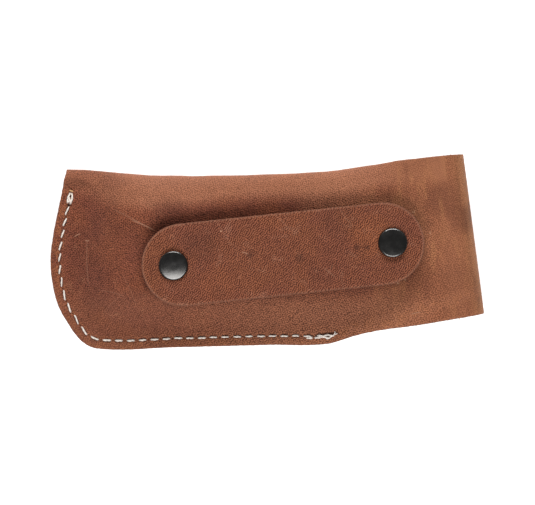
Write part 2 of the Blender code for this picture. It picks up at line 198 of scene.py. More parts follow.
BEND_TOP = flap_point(-FLAP_RADIUS, FLAP_HALF_WIDTH)
BEND_BOTTOM = flap_point(-FLAP_RADIUS, -FLAP_HALF_WIDTH)
FLAP_SNAP = flap_point(-FLAP_SNAP_REACH, 0)
SNAP_RIGHT = strap_plan(SNAP_SPACING, 0)


def front_level(x):
    """Height of the front panel's outer face: a smooth step up to clear the flap."""
    return FRONT_RAISED * smooth((x - FRONT_RISE[0]) / (FRONT_RISE[1] - FRONT_RISE[0]))


def bulge(distance, reach):
    """Rise of a panel in from an edge: a smooth step from SEAM_FLAT to reach."""
    return smooth((distance - SEAM_FLAT) / (reach - SEAM_FLAT))


def bottom_point(u):
    """Lower edge: x goes evenly from the corner to the bend, y is the curve through BOTTOM_EDGE."""
    x = mix(CORNER[0], BEND_BOTTOM[0], u)
    return x, through(BOTTOM_EDGE + [BEND_BOTTOM], x)


def fold_extreme(u):
    """Outermost line of the folded top edge: x is bowed by u(1 - u), y is the curve through TOP_EDGE."""
    x = mix(TOP_EDGE[0][0], BEND_TOP[0], u) + TOP_EDGE_BOW * u * (1 - u)
    return x, through(TOP_EDGE + [BEND_TOP], x)


def fold_radius(u):
    """Half the fold's height: its crest rises from the closed seam to TOP by a smooth step."""
    x = fold_extreme(u)[0]
    full = bulge((x - TOP_EDGE[0][0]) + SEAM_FLAT, LEFT_BULGE_REACH)
    crest = mix(front_level(x) + SEAM_PLY + FOLD_END_LIFT, TOP, full)
    return (crest - front_level(x)) / 2


def fold_lean(u):
    """Lean of the lines over the fold: even change from the closed end to the flap's turn."""
    return mix(0.2, -math.tan(FLAP_TURN), u)


def crest_point(u):
    """Where the back panel meets the fold: a fold radius in from its outermost line."""
    x, y = fold_extreme(u)
    return x - fold_radius(u) * fold_lean(u), y - fold_radius(u)


def closed_point(v):
    """Closed edge: y goes evenly from the corner to the fold, x is the curve through CLOSED_EDGE."""
    y = mix(CORNER[1], crest_point(0.0)[1], v)
    return through(CLOSED_EDGE, y, axis=1), y


def panel_point(u, v):
    """Coons patch between the four edges of a panel: u from the closed end, v from the seam."""
    low, high = bottom_point(u), crest_point(u)
    left, right = closed_point(v), [mix(a, b, v) for a, b in zip(BEND_BOTTOM, crest_point(1.0))]
    corners = [mix(mix(a, b, v), mix(c, d, v), u) for a, b, c, d in
               zip(bottom_point(0.0), crest_point(0.0), BEND_BOTTOM, crest_point(1.0))]
    return [mix(low[i], high[i], v) + mix(left[i], right[i], u) - corners[i] for i in (0, 1)]


def edge_distances(u, v):
    """Distances in plan from the closed edge and from the lower edge."""
    x, y = panel_point(u, v)
    side, below = closed_point(v), bottom_point(u)
    return np.hypot(x - side[0], y - side[1]), np.hypot(x - below[0], y - below[1])


def seam_front(x, y):
    """Height of the seam's front face, which dies into the front panel past the first stitch."""
    return front_level(x) + SEAM_LIFT * (1 - smooth((y - STITCH_START_Y) / 8))


def back_height(u, v):
    """Back panel: a flat seam, then smooth rises from the closed end and from the long edge, multiplied."""
    x, y = panel_point(u, v)
    from_closed, from_seam = edge_distances(u, v)
    rising = smooth((x - SEAM_END) / (EDGE_FLAT_FROM - SEAM_END))
    seam = seam_front(x, y) + SEAM_PLY
    end_lift = FOLD_END_LIFT * smooth((y - FOLD_END_FROM) / (crest_point(0.0)[1] - FOLD_END_FROM))
    inside = mix(mix(seam, TOP, rising), TOP, bulge(from_seam, BULGE_REACH))
    return mix(seam + end_lift, inside, bulge(from_closed, LEFT_BULGE_REACH))


def front_height(u, v):
    """Front panel: the seam's face, then smooth rises in from both edges, multiplied."""
    x, y = panel_point(u, v)
    from_closed, from_seam = edge_distances(u, v)
    inside = bulge(from_closed, LEFT_BULGE_REACH / 2) * bulge(from_seam, BULGE_REACH / 2)
    return mix(seam_front(x, y), front_level(x), inside)


def fold_surface(u, angle):
    """Top fold: an ellipse quarter above and below its outermost line, leaning along the hide."""
    x, y = crest_point(u)
    low, high = front_height(u, 1.0), back_height(u, 1.0)
    open_out = 1 - smooth((x - SEAM_END) / (EDGE_FLAT_FROM - SEAM_END))
    across = fold_radius(u) * np.cos(angle)
    above = high - (high - low) / 2 * open_out * (1 - np.sin(angle))
    z = np.where(angle < 0, mix(low, high, (1 + np.sin(angle)) / 2), above)
    return stacked(x + across * fold_lean(u), y + across, z)


def bend_surface(across, angle):
    """Flap's bend: a cylinder of FLAP_RADIUS about the fold line, narrowing as it goes."""
    half = FLAP_HALF_WIDTH - FLAP_TAPER * FLAP_RADIUS * angle
    x, y = flap_point(-FLAP_RADIUS + FLAP_RADIUS * np.sin(angle), across * half)
    return stacked(x, y, TOP - FLAP_RADIUS + FLAP_RADIUS * np.cos(angle))


# ---- seam line

def seam_line():
    """Stitch line: the closed and long edges moved in by STITCH_INSET along their own normals."""
    closed = stacked(*closed_point(np.linspace(1, 0, 161)))
    edge = np.concatenate([closed, stacked(*bottom_point(np.linspace(0, 0.7, 321)[1:]))])
    i = np.arange(len(edge))
    along = unit(edge[np.minimum(i + 4, len(edge) - 1)] - edge[np.maximum(i - 4, 0)])
    line = edge + STITCH_INSET * left_of(along)
    line = line[(line[:, 0] < STITCH_END_X) & ((line[:, 0] > -80) | (line[:, 1] < STITCH_START_Y))]
    travel = np.concatenate([[0], np.cumsum(np.linalg.norm(np.diff(line, axis=0), axis=1))])
    return line, travel


SEAM_LINE, SEAM_TRAVEL = seam_line()
SEAM_LENGTH = SEAM_TRAVEL[-1]
STITCHES = round(SEAM_LENGTH / STITCH_PITCH) - 1
COUNTED = np.arange(STITCHES + 1.0)
HOLES = COUNTED * STITCH_PITCH + CORNER_STRETCH * smooth((COUNTED - 6) / 8)
HOLES = HOLES + (SEAM_LENGTH - HOLES[-1]) * smooth((COUNTED - STITCHES + 9) / 9)


def stitches_passed(travel):
    """Stitch lengths passed at distances along the line, read between the holes.

    Holes are a pitch apart, but CORNER_STRETCH more is spread smoothly over the eight that go round
    the corner, and the last nine take up what is left of the seam.
    """
    held = np.clip(travel, 0, SEAM_LENGTH)
    return np.interp(held, HOLES, COUNTED) + (travel - held) / STITCH_PITCH


def seam_coordinates(x, y):
    """Distance along the stitch line and signed distance from it, to the inside, of plan positions."""
    direction = unit(np.gradient(SEAM_LINE, axis=0))
    plan = np.stack([x.ravel(), y.ravel()], -1)
    nearest = np.concatenate([np.argmin(((p[:, None] - SEAM_LINE[None]) ** 2).sum(-1), axis=1)
                              for p in np.array_split(plan, len(plan) // 4000 + 1)])
    offset, along = plan - SEAM_LINE[nearest], direction[nearest]
    travel = SEAM_TRAVEL[nearest] + (offset * along).sum(-1)
    inward = along[:, 0] * offset[:, 1] - along[:, 1] * offset[:, 0]
    return travel.reshape(x.shape), inward.reshape(x.shape)


def on_seam(distance, inward):
    """Plan positions at distances along the stitch line and in from it, straight on past its ends."""
    held = np.clip(distance, 0, SEAM_LENGTH)
    centre, ahead, back = (np.stack([np.interp(held + k, SEAM_TRAVEL, SEAM_LINE[:, i]) for i in (0, 1)], -1)
                           for k in (0, 0.5, -0.5))
    along = unit(ahead - back)
    return centre + (distance - held)[..., None] * along + np.asarray(inward)[..., None] * left_of(along)


# ---- meshes

def half_disc(across, steps, reach, half_width):
    """Lengths along and across a half-disc, a square grid pulled round: each way is shortened by
    (1 - other^2 / 2)^0.5."""
    t = np.linspace(0, 1, steps)[None, 1:]
    return reach * t * np.sqrt(1 - across**2 / 2), across * half_width * np.sqrt(1 - t**2 / 2)


def quads(index):
    """Corner numbers of the faces of a grid of point numbers."""
    return np.stack([index[:-1, :-1], index[:-1, 1:], index[1:, 1:], index[1:, :-1]], -1).reshape(-1, 4)


def numbered(rows, columns, start=0):
    """Point numbers of a grid, row by row."""
    return start + np.arange(rows * columns).reshape(rows, columns)


def point_normals(points, faces):
    """Mean direction of the faces round each point, weighed by their size."""
    total = np.zeros_like(points)
    flat = np.cross(points[faces[:, 2]] - points[faces[:, 0]], points[faces[:, 3]] - points[faces[:, 1]])
    for k in range(4):
        np.add.at(total, faces[:, k], flat)
    return unit(total)


def link(made):
    bpy.context.scene.collection.objects.link(made)


def put(name, points, faces, finish, slot, sharp=50, weld=False, **attributes):
    """Makes a mesh object from points in millimetres, faces of four and per-point attributes."""
    mesh = bpy.data.meshes.new(name)
    mesh.vertices.add(len(points))
    mesh.vertices.foreach_set("co", (np.asarray(points, np.float32) * MM).ravel())
    mesh.loops.add(faces.size)
    mesh.loops.foreach_set("vertex_index", faces.astype(np.int32).ravel())
    mesh.polygons.add(len(faces))
    mesh.polygons.foreach_set("loop_start", np.arange(0, faces.size, 4, dtype=np.int32))
    mesh.update(calc_edges=True)
    for key, value in attributes.items():
        layer = mesh.attributes.new(key, "FLOAT_VECTOR", "POINT")
        layer.data.foreach_set("vector", np.asarray(value, np.float32).ravel())
    if weld:
        bm = bmesh.new()
        bm.from_mesh(mesh)
        bmesh.ops.remove_doubles(bm, verts=bm.verts, dist=2e-6)
        bmesh.ops.recalc_face_normals(bm, faces=bm.faces)
        bm.to_mesh(mesh)
        bm.free()
    mesh.validate()
    mesh.shade_smooth()
    mesh.set_sharp_from_angle(angle=math.radians(sharp))
    mesh.materials.append(finish)
    made = bpy.data.objects.new(name, mesh)
    link(made)
    return made


EDGE_RINGS = 5


def leather(name, points, faces, hide, finish, slot, thickness, joined, relief=0.0, seam=None):
    """Thick leather from its outer face.

    The flesh face is the outer one moved in by the thickness along the point normals, and rings of
    points between them give the cut edge: each ring is (a|cos|^0.5, b|sin|^0.5) of its angle, a
    square edge with worn corners. Points where joined is true meet another length and stay flat.
    """
    normals = point_normals(points, faces)
    outer = points + normals * np.reshape(relief, (-1, 1))
    inner = points - normals * thickness
    starts, ends = faces.ravel(), np.roll(faces, -1, axis=1).ravel()
    rim = ~np.isin(starts * len(points) + ends, ends * len(points) + starts)
    starts, ends = starts[rim], ends[rim]
    outward = np.zeros_like(points)
    free = ~(joined[starts] & joined[ends])
    side = unit(np.cross(points[ends] - points[starts], normals[starts] + normals[ends]))
    np.add.at(outward, starts[free], side[free])
    np.add.at(outward, ends[free], side[free])
    outward = unit(outward)
    ring = np.unique(starts)
    place = np.full(len(points), -1)
    place[ring] = np.arange(len(ring))
    rough = 0.10 * drift(points[ring, 0], points[ring, 1], 2.3, 5) + 0.05 * (scatter(len(ring), 3) - 0.5)
    layers, middle = [], (outer[ring] + inner[ring]) / 2
    half = np.linalg.norm(outer[ring] - inner[ring], axis=1, keepdims=True) / 2
    for turn in np.arange(1, EDGE_RINGS + 1) * math.pi / (EDGE_RINGS + 1):
        rise = math.copysign(abs(math.cos(turn)) ** 0.5, math.cos(turn))
        out = (0.28 + rough) * math.sin(turn) ** 0.5
        layers.append(middle + half * rise * normals[ring] + out[:, None] * outward[ring])
    count, m = len(points), len(ring)
    flesh = count + EDGE_RINGS * m
    chain = [ring] + [count + k * m + np.arange(m) for k in range(EDGE_RINGS)] + [flesh + ring]
    walls = [np.stack([high[place[ends]], high[place[starts]], low[place[starts]], low[place[ends]]], -1)
             for high, low in zip(chain, chain[1:])]
    all_points = np.concatenate([outer] + layers + [inner])
    all_points[:, 2] = np.maximum(all_points[:, 2], 0.03)
    all_faces = np.concatenate([faces] + walls + [faces[:, ::-1] + flesh])

    def all_round(value):
        """Values of the outer face, carried over the edge rings and the flesh face."""
        return np.concatenate([value] + [value[ring]] * EDGE_RINGS + [value])

    kind = np.repeat([0.0, 1.0, 2.0], [count, EDGE_RINGS * m, count])
    gap = np.where(kind == 1, 0.0, all_round(rim_distance(outer, outer[ring[~joined[ring]]])))
    extra = {"hide": np.column_stack([all_round(hide), kind * 37]), "cut": np.column_stack([kind, gap, gap]),
             "lie": all_round(np.column_stack([points[:, :2], normals[:, 2]]))}
    if seam is not None:
        extra["seam"] = all_round(seam)
    return put(name, all_points, all_faces, finish, slot, sharp=60, **extra)


def rim_distance(points, edge):
    """Distance in millimetres from each point to the nearest edge point, up to 12."""
    reach = np.full(len(points), 12.0)
    for part in np.array_split(np.arange(len(points)), len(points) // 3000 + 1):
        gap = np.sqrt(((points[part, None] - edge[None, ::2]) ** 2).sum(-1).min(1))
        reach[part] = np.minimum(12.0, gap)
    return reach


def tubes(centres, radius, sides):
    """Closed tubes along centre lines: centres is (tubes, rings, 3) and radius (tubes, rings, sides).

    A ring is centre + radius (cos a side + sin a up), where side is the line's direction crossed
    with +Z, and each end is drawn to a point.
    """
    n, rings, _ = centres.shape
    ahead = unit(np.gradient(centres, axis=1))
    side = unit(np.cross(ahead, (0, 0, 1.0)))
    up = np.cross(side, ahead)
    a = once_round(sides)[:, None]
    outward = np.cos(a) * side[:, :, None] + np.sin(a) * up[:, :, None]
    body = centres[:, :, None] + radius[..., None] * outward
    index = np.arange(n * rings * sides).reshape(n, rings, sides)
    wrapped = np.concatenate([index, index[:, :, :1]], 2)
    faces = np.stack([wrapped[:, :-1, :-1], wrapped[:, 1:, :-1], wrapped[:, 1:, 1:], wrapped[:, :-1, 1:]], -1)
    return body.reshape(-1, 3), faces.reshape(-1, 4)


def lathe(profile, steps, centre, facing):
    """A profile of (radius, height) turned about Z: (r cos a, r sin a, h). It closes on itself unless
    it starts on the axis."""
    a, r, h = once_round(steps), profile[:, :1], profile[:, 1:]
    points = stacked(r * np.cos(a) * facing, r * np.sin(a), h * facing)
    index = numbered(len(profile), steps)
    index = np.concatenate([index, index[:, :1]], 1)
    if profile[0, 0] > 0.01:
        index = np.concatenate([index, index[:1]], 0)
    return points.reshape(-1, 3) + np.array(centre), quads(index)


def eased(profile):
    """Rounds a profile's corners: twice, each becomes two points, 0.18 of the way along its sides."""
    line = np.array(profile, float)
    for _ in range(2):
        a, b = line[:-1], line[1:]
        pairs = np.stack([mix(a, b, 0.18), mix(b, a, 0.18)], 1).reshape(-1, 2)
        line = np.concatenate([line[:1], pairs[1:-1], line[-1:]])
    return line


# ---- materials

class Wire:
    """A number, colour or vector in a material; arithmetic on numbers adds Math nodes."""

    def __init__(self, tree, socket=None):
        self.tree, self.socket = tree, socket

    def connect(self, made, inputs):
        """Sets or links a node's sockets, given by name or number."""
        for key, value in inputs.items():
            if isinstance(value, Wire):
                self.tree.links.new(value.socket, made.inputs[key])
            else:
                made.inputs[key].default_value = value

    def node(self, kind, settings, inputs, output=0):
        made = self.tree.nodes.new("ShaderNode" + kind)
        for key, value in settings.items():
            setattr(made, key, value)
        self.connect(made, inputs)
        return Wire(self.tree, made.outputs[output])

    def math(self, operation, a, b=0.0):
        return self.node("Math", {"operation": operation}, {0: a, 1: b})

    def __add__(self, other):
        return self.math("ADD", self, other)

    def __sub__(self, other):
        return self.math("SUBTRACT", self, other)

    def __rsub__(self, other):
        return self.math("SUBTRACT", other, self)

    def __mul__(self, other):
        return self.math("MULTIPLY", self, other)

    def __pow__(self, other):
        return self.math("POWER", self, other)

    __radd__, __rmul__ = __add__, __mul__

    def size(self):
        return self.math("ABSOLUTE", self)

    def part(self):
        return self.math("FRACT", self)

    def wave(self):
        return self.math("SINE", self)

    def step(self, low, high, start=0.0, end=1.0):
        """Smooth step from start to end as the number goes from low to high."""
        return self.node("MapRange", {"interpolation_type": "SMOOTHSTEP"},
                         {0: self, 1: low, 2: high, 3: start, 4: end})

    def axis(self, which):
        return self.node("SeparateXYZ", {}, {0: self}, which)

    def scaled(self, x, y, z):
        return self.node("VectorMath", {"operation": "MULTIPLY"}, {0: self, 1: (x, y, z)})

    def moved(self, other):
        return self.node("VectorMath", {"operation": "ADD"}, {0: self, 1: other})

    def turned(self, degrees):
        return self.node("Mapping", {}, {0: self, 2: (0, 0, math.radians(degrees))})

    def noise(self, scale, detail, rough, distort=0.0):
        return self.node("TexNoise", {}, {"Vector": self, "Scale": scale, "Detail": detail,
                                          "Roughness": rough, "Distortion": distort})

    def between(self, low, high):
        """The colour from low to high as this number goes from 0 to 1."""
        return self.node("Mix", {"data_type": "RGBA"}, {0: self, 6: (*low, 1.0), 7: (*high, 1.0)}, 2)

    def tint(self, colour, amount):
        """This colour mixed towards another by amount."""
        colour = colour if isinstance(colour, Wire) else (*colour, 1.0)
        return self.node("Mix", {"data_type": "RGBA"}, {0: amount, 6: self, 7: colour}, 2)

    def tints(self, *steps):
        """This colour tinted by each colour and amount in turn."""
        for colour, amount in steps:
            self = self.tint(colour, amount)
        return self

    def times(self, colour):
        return self.node("Mix", {"data_type": "RGBA", "blend_type": "MULTIPLY"},
                         {0: 1.0, 6: self, 7: colour}, 2)

    def bump(self, distance, strength):
        return self.node("Bump", {}, {"Height": self, "Distance": distance, "Strength": strength})


def start_material(name):
    """A new material, its empty wire for making nodes and its shader."""
    made = bpy.data.materials.new(name)
    made.use_nodes = True
    return made, Wire(made.node_tree), made.node_tree.nodes["Principled BSDF"]


def attribute(wire, name):
    return wire.node("Attribute", {"attribute_name": name}, {}, 1)


def millimetres(wire):
    """Object coordinates in millimetres."""
    return wire.node("TexCoord", {}, {}, 3).scaled(1 / MM, 1 / MM, 1 / MM)


def along_and_across(x, y, at, cos, sin):
    """Distances from a plan point along the direction (cos, sin) and across it to the left."""
    return (x * cos + y * sin - (at[0] * cos + at[1] * sin),
            y * cos - x * sin - (at[1] * cos - at[0] * sin))


def scratch(x, y, start, end, width, bow):
    """Soft line: distance from the straight line start-end, bowed sideways as 4t(1 - t)."""
    length = math.dist(start, end)
    ahead = (end[0] - start[0]) / length, (end[1] - start[1]) / length
    along, across = along_and_across(x, y, start, *ahead)
    share = along * (1 / length)
    off = across - share * (1 - share) * (4 * bow)
    return off.size().step(width, 0.15 * width) * share.step(-0.05, 0.2) * share.step(1.05, 0.8)


def spot(x, y, at, reach):
    """Soft round patch: smooth step of the squared distance from its middle."""
    return ((x - at[0]) ** 2.0 + (y - at[1]) ** 2.0).step(reach * reach, 0.0)


def spots(x, y, rows):
    """Sum of soft round patches, each weighed by its share: rows of middle, reach and share."""
    return sum(spot(x, y, at, reach) * share for at, reach, share in rows)


def ripple(hide, spacing, turns, wander):
    """Fine even grain: the mean of plane waves of one spacing whose phases wander with slow noise."""
    x, y, total = hide.axis(0), hide.axis(1), 0.0
    wave = 2 * math.pi / spacing
    for k, turn in enumerate(turns):
        phase = hide.moved((17 * k, 5 * k, 3 * k)).noise(0.45, 2.0, 0.6) * wander
        phase = x * (wave * math.cos(math.radians(turn))) + y * (wave * math.sin(math.radians(turn))) + phase
        total = phase.wave() + total
    return total * (1 / len(turns))


def strap_grain(hide):
    """Even ridges that mostly slant one way: the grain, and its fine part."""
    ridges = ripple(hide, 0.86, (142, 130, 154, 118, 166, 60), 14) * 1.6 + 0.5
    fine = hide.turned(-50).scaled(0.8, 1.25, 1).noise(1.9, 1.0, 0.6).step(0.38, 0.62)
    return ridges.step(0.0, 1.0) * 0.86 + fine * 0.14, fine


def body_grain(hide, depth):
    """Short ridges that run all ways, with more fine grain, and as deep as told: grain and fine part."""
    ridges = ripple(hide, 0.88, (140, 100, 60, 15), 16) * 1.7 + 0.5
    fine = hide.moved((9, 2, 4)).noise(2.3, 1.0, 0.6).step(0.34, 0.66)
    return (ridges.step(0.0, 1.0) * 0.62 + fine * 0.38 - 0.5) * depth + 0.5, fine


def body_tones(tone, hide, x, y, outer, back, fold_pale_and_lit, dark):
    """Tones of the body hide: pale over the folds, partly painted light on the top fold's lit face; tan and
    streaked at the flap's end, with a painted highlight along the flap's fold; dark patches, one a painted
    shadow above the strap's upper left edge; painted light over the shade above the strap's right half and
    on the slope below the strap; and a painted shadow round the strap's lower side and left end and
    painted light round its right end, which go by the distance from the strap's outline."""
    slanted, to_fold = x - y * FLAP_END_LEAN, x + y * math.tan(FLAP_TURN)
    u, v = along_and_across(x, y, SNAP_LEFT, math.cos(STRAP_TURN), math.sin(STRAP_TURN))
    before, after = STRAP_END_INSET - u, u - (SNAP_SPACING - STRAP_END_INSET)
    beyond = (before + before.size() + after + after.size()) * 0.5
    from_strap = (beyond ** 2.0 + v ** 2.0) ** 0.5 - STRAP_HALF_WIDTH
    # painted shadow on the body round the strap's lower side and left end
    painted_strap_shadow = from_strap.step(3.0, 0.3) * (v.step(6.0, -8.0, 0.0, 0.45) + u.step(16.0, -4.0, 0.0, 0.3))
    # painted light that lightens the strap's shadow round its right end
    painted_light_round_strap_end = from_strap.step(8.0, 0.0) * u.step(66.0, 90.0) * v.step(-14.0, -2.0)
    streak, flap_end = hide.scaled(1, 0.22, 1).noise(0.2, 3.0, 0.6), slanted.step(26.0, 56.0) * back
    # painted light on the body's lower slope below the strap, which faces the near lamp
    painted_light_below_strap = x.step(-60.0, 20.0, 0.32, 1.0) * y.step(-13.0, -24.0) * x.step(78.0, 50.0)
    return tone.tints(
        # pale where stretched over the folds, and partly painted light on the top fold's lit face
        (PALE_HIDE_AND_PAINTED_LIGHT, fold_pale_and_lit * outer),
        (LIGHTER_END, slanted.step(38.0, 58.0, 0.0, 0.62) * back),
        # painted highlight along the flap's folded edge
        (FOLD_HIGHLIGHT_AND_TAN, to_fold.step(81.0, 88.8, 0.0, 0.75) * outer),
        (dark, spots(x, y, BODY_SMUDGES_AND_SHADOW) * back),
        # painted light that lightens the strap's shadow above its right half
        (PALE_HIDE_AND_PAINTED_LIGHT, spot(x, y, (28, 22), 20) * back * 0.45),
        (dark, painted_strap_shadow * back),
        (STRAP_END_PAINTED_LIGHT, painted_light_round_strap_end * back * 0.4),
        (dark, streak.step(0.52, 0.7, 0.0, 0.32) * flap_end),
        (FOLD_HIGHLIGHT_AND_TAN, streak.step(0.48, 0.32, 0.0, 0.3) * flap_end),
        (PALE_HIDE_AND_PAINTED_LIGHT, painted_light_below_strap * back * 0.5))


def seam_margin(tone, travel, inward, outer, smudge):
    """Handled hide along the seam: a soft band from the stitches to the edge."""
    margin = (inward + 1.2).size().step(4.0, 1.0) * travel.step(-0.6, 0.4) * outer
    return tone.tints((ORANGE_MARGIN, margin * smudge.step(0.56, 0.42, 0.0, 0.5)),
                      (PALE_HIDE_AND_PAINTED_LIGHT, margin * travel.step(11.0, 15.0) * 0.22))


def needle_holes(tone, travel, inward, kind):
    """Painted shade in the groove along each stitch and in a hole at its ends: the tone, and how deep the
    holes go.
    """
    sewn = travel.step(-0.2, -0.1) * travel.step(STITCHES + 0.2, STITCHES + 0.1)
    phase = (travel + 0.5).part() - 0.5
    reach = ((phase * (STITCH_PITCH * 0.8)) ** 2.0 + inward ** 2.0) ** 0.5
    first_holes = travel.step(1.6, 1.2)
    hole = (reach - first_holes * 0.18).step(0.45, 0.15) * sewn * kind.step(1.05, 0.95)
    groove_shade = inward.size().step(0.95, 0.45) * phase.size().step(0.12, 0.24) * sewn
    return tone.tints((STITCH_GROOVE_SHADE, groove_shade * 0.6), (NEEDLE_HOLE_SHADE, hole * (0.65 + first_holes * 0.35))), hole * 2.0


def leather_finish(name, base, warm, dark, light, crease, ridge, scratches, strap=False):
    """Oiled full-grain leather.

    Broad mottling drifts between the base and a warm tone, and smudges darken it. The grain is
    ridges between dark creases; it scales the tone from a dark crease to a light ridge and gives
    the height for the bump. Kind is 0 on the outer face, 1 on a cut edge and 2 on the flesh face.
    """
    made, w, shader = start_material(name)
    hide, cut, lie = attribute(w, "hide"), attribute(w, "cut"), attribute(w, "lie")
    kind, rim = cut.axis(0), cut.axis(1)
    x, y, facing = (lie.axis(i) for i in range(3))
    outer = kind.step(0.5, 0.2)
    back = facing.step(0.0, 0.2) * outer
    broad = hide.noise(0.05, 3.0, 0.55, 0.4)
    patch = hide.moved((31, 7, 3)).noise(0.17, 4.0, 0.6, 0.5)
    smudge = hide.moved((5, 60, 9)).noise(0.42, 3.0, 0.62)
    tone = broad.step(0.36, 0.66).between(base, warm).tints(
        (dark, patch.step(0.5, 0.74, 0.0, 0.3 if strap else 0.45)),
        (light, patch.step(0.44, 0.27, 0.0, 0.22)),
        (dark, smudge.step(0.54, 0.74, 0.0, 0.12 if strap else 0.3)),
        (warm, smudge.step(0.46, 0.28, 0.0, 0.3 if strap else 0.5)))
    if strap:
        grain, fine = strap_grain(hide)
        tone = tone.tints((RUSTY_STRAP, spots(x, y, STRAP_RUST)),
                          *((STRAP_SMUDGE, spots(x, y, [row])) for row in STRAP_SMUDGES))
    else:
        seam = attribute(w, "seam")
        travel, inward, fold_pale_and_lit = (seam.axis(i) for i in range(3))
        calmer = (x - y * FLAP_END_LEAN).step(38.0, 58.0, 1.0, 0.75)
        grain, fine = body_grain(hide, calmer - fold_pale_and_lit * 0.5)
        tone = body_tones(tone, hide, x, y, outer, back, fold_pale_and_lit, dark)
        tone = seam_margin(tone, travel, inward, outer, smudge)
    tone = tone.times(grain.between(crease, ridge))
    for start, end, width, bow, share in scratches:
        mark = scratch(x, y, start, end, width, bow) * back * abs(share)
        tone = tone.tint(SCUFFED_HIDE if share > 0 else dark, mark)
    fibrous = hide.scaled(1, 1, 4).noise(2.2, 4.0, 0.7)
    tone = tone.tints(
        (light, rim.step(0.95, 0.25, 0.0, 0.36 if strap else 0.25) * outer),
        (fibrous.between(base, light), kind.step(0.3, 1.0, 0.0, 0.8)),
        (fibrous.between((0.20, 0.105, 0.06), (0.36, 0.21, 0.125)), kind.step(1.1, 1.9)))
    height = grain
    if not strap:
        tone, holes = needle_holes(tone, travel, inward, kind)
        height = height - holes
    w.connect(shader, {"Base Color": tone, "Roughness": 0.66 + fine * 0.14,
                       "Normal": height.bump(0.00016, 0.8), "Specular IOR Level": 0.16,
                       "Sheen Weight": 0.03, "Sheen Roughness": 0.5})
    return made


def thread_finish(name, pale, grey, valley):
    """Waxed thread: pale cord with painted shade in the valleys between its plies, and fine fibres."""
    made, w, shader = start_material(name)
    lay = attribute(w, "lay")
    ply = (lay.axis(0) * PLY_TWIST + lay.axis(1) * 2.0).wave()
    fibre = lay.scaled(1.5, 6.0, 1).noise(2.0, 3.0, 0.6)
    # painted shade in the valleys between the plies
    tone = fibre.step(0.3, 0.6).between(grey, pale).tint(valley, ply.step(-0.2, -1.0, 0.0, 0.6))
    w.connect(shader, {"Base Color": tone, "Roughness": 0.75, "Specular IOR Level": 0.3,
                       "Normal": (ply * 0.5 + fibre).bump(0.0001, 0.6)})
    return made


def fibre_finish(name):
    """Loose leather fibre: tan, darker in patches."""
    made, w, shader = start_material(name)
    tone = millimetres(w).noise(1.2, 2.0, 0.5).between((0.20, 0.085, 0.045), (0.55, 0.34, 0.20))
    w.connect(shader, {"Base Color": tone, "Roughness": 0.85})
    return made


def plated_finish(name, colour, roughness):
    """Plated metal, thinly lacquered, with faint cloudiness and hairline wear."""
    made, w, shader = start_material(name)
    cloud = millimetres(w).noise(0.35, 3.0, 0.6)
    hair = millimetres(w).scaled(6, 0.7, 1).noise(1.0, 2.0, 0.6)
    tone = cloud.between(colour, [min(1.0, c * 1.8 + 0.01) for c in colour])
    w.connect(shader, {"Base Color": tone, "Metallic": 1.0,
                       "Roughness": roughness + cloud * 0.12 + hair.step(0.6, 0.8, 0.0, 0.1),
                       "Normal": (cloud + hair * 0.1).bump(0.00002, 0.08)})
    return made


FLAP_END_LEAN = 0.14        # the flap end's tones start along lines that lean by this much
SCUFFED_HIDE = (0.50, 0.27, 0.17)       # a pale scratch through the grain
PALE_HIDE_AND_PAINTED_LIGHT = (0.34, 0.132, 0.068)      # hide stretched over a fold and worn pale, and painted light: on the top fold's lit face, over the strap's shadow and on the slope below the strap
LIGHTER_END = (0.252, 0.089, 0.040)     # the third of the back nearest the flap
FOLD_HIGHLIGHT_AND_TAN = (0.38, 0.155, 0.062)         # painted highlight along the flap's fold, and the tan of pale streaks next to it
STRAP_END_PAINTED_LIGHT = (0.34, 0.135, 0.066)    # painted light, lightening the shade round the strap's right end
ORANGE_MARGIN = (0.27, 0.092, 0.037)    # handled hide along the seam
STITCH_GROOVE_SHADE = (0.045, 0.017, 0.011)       # painted shade in the groove along the stitches
# painted shade in the needle holes at the stitch ends
NEEDLE_HOLE_SHADE = (0.04, 0.016, 0.010)
RUSTY_STRAP = (0.225, 0.066, 0.026)
STRAP_SMUDGE = (0.045, 0.016, 0.010)
# Patches of tone: middle in plan, reach and share
# dark smudges on the body; the patch at (-42, 13) is a painted shadow above the strap's upper left edge
BODY_SMUDGES_AND_SHADOW = [((-70, 2), 24, 0.2), ((74, 22), 10, 0.4), ((83, 14), 8, 0.4), ((-42, 13), 12, 0.5),
                ((80, -16), 14, 0.18)]
STRAP_RUST = [((43, 7), 11, 0.4), ((-22, -14), 10, 0.4), ((0, 13), 8, 0.2)]
STRAP_SMUDGES = [
    ((-7.5, -1.2), 2.0, 0.4), ((13.5, -2.8), 2.4, 0.45), ((37.5, 1.9), 1.5, 0.5), ((42.0, 1.7), 1.3, 0.5),
    ((39.5, 2.0), 4.0, 0.15), ((-28, 3), 9.0, 0.2), ((-21, -17), 4.0, 0.2), ((30, 12), 9.0, 0.12),
    ((34, 17), 2.2, 0.25), ((20, -9), 5.0, 0.12)]
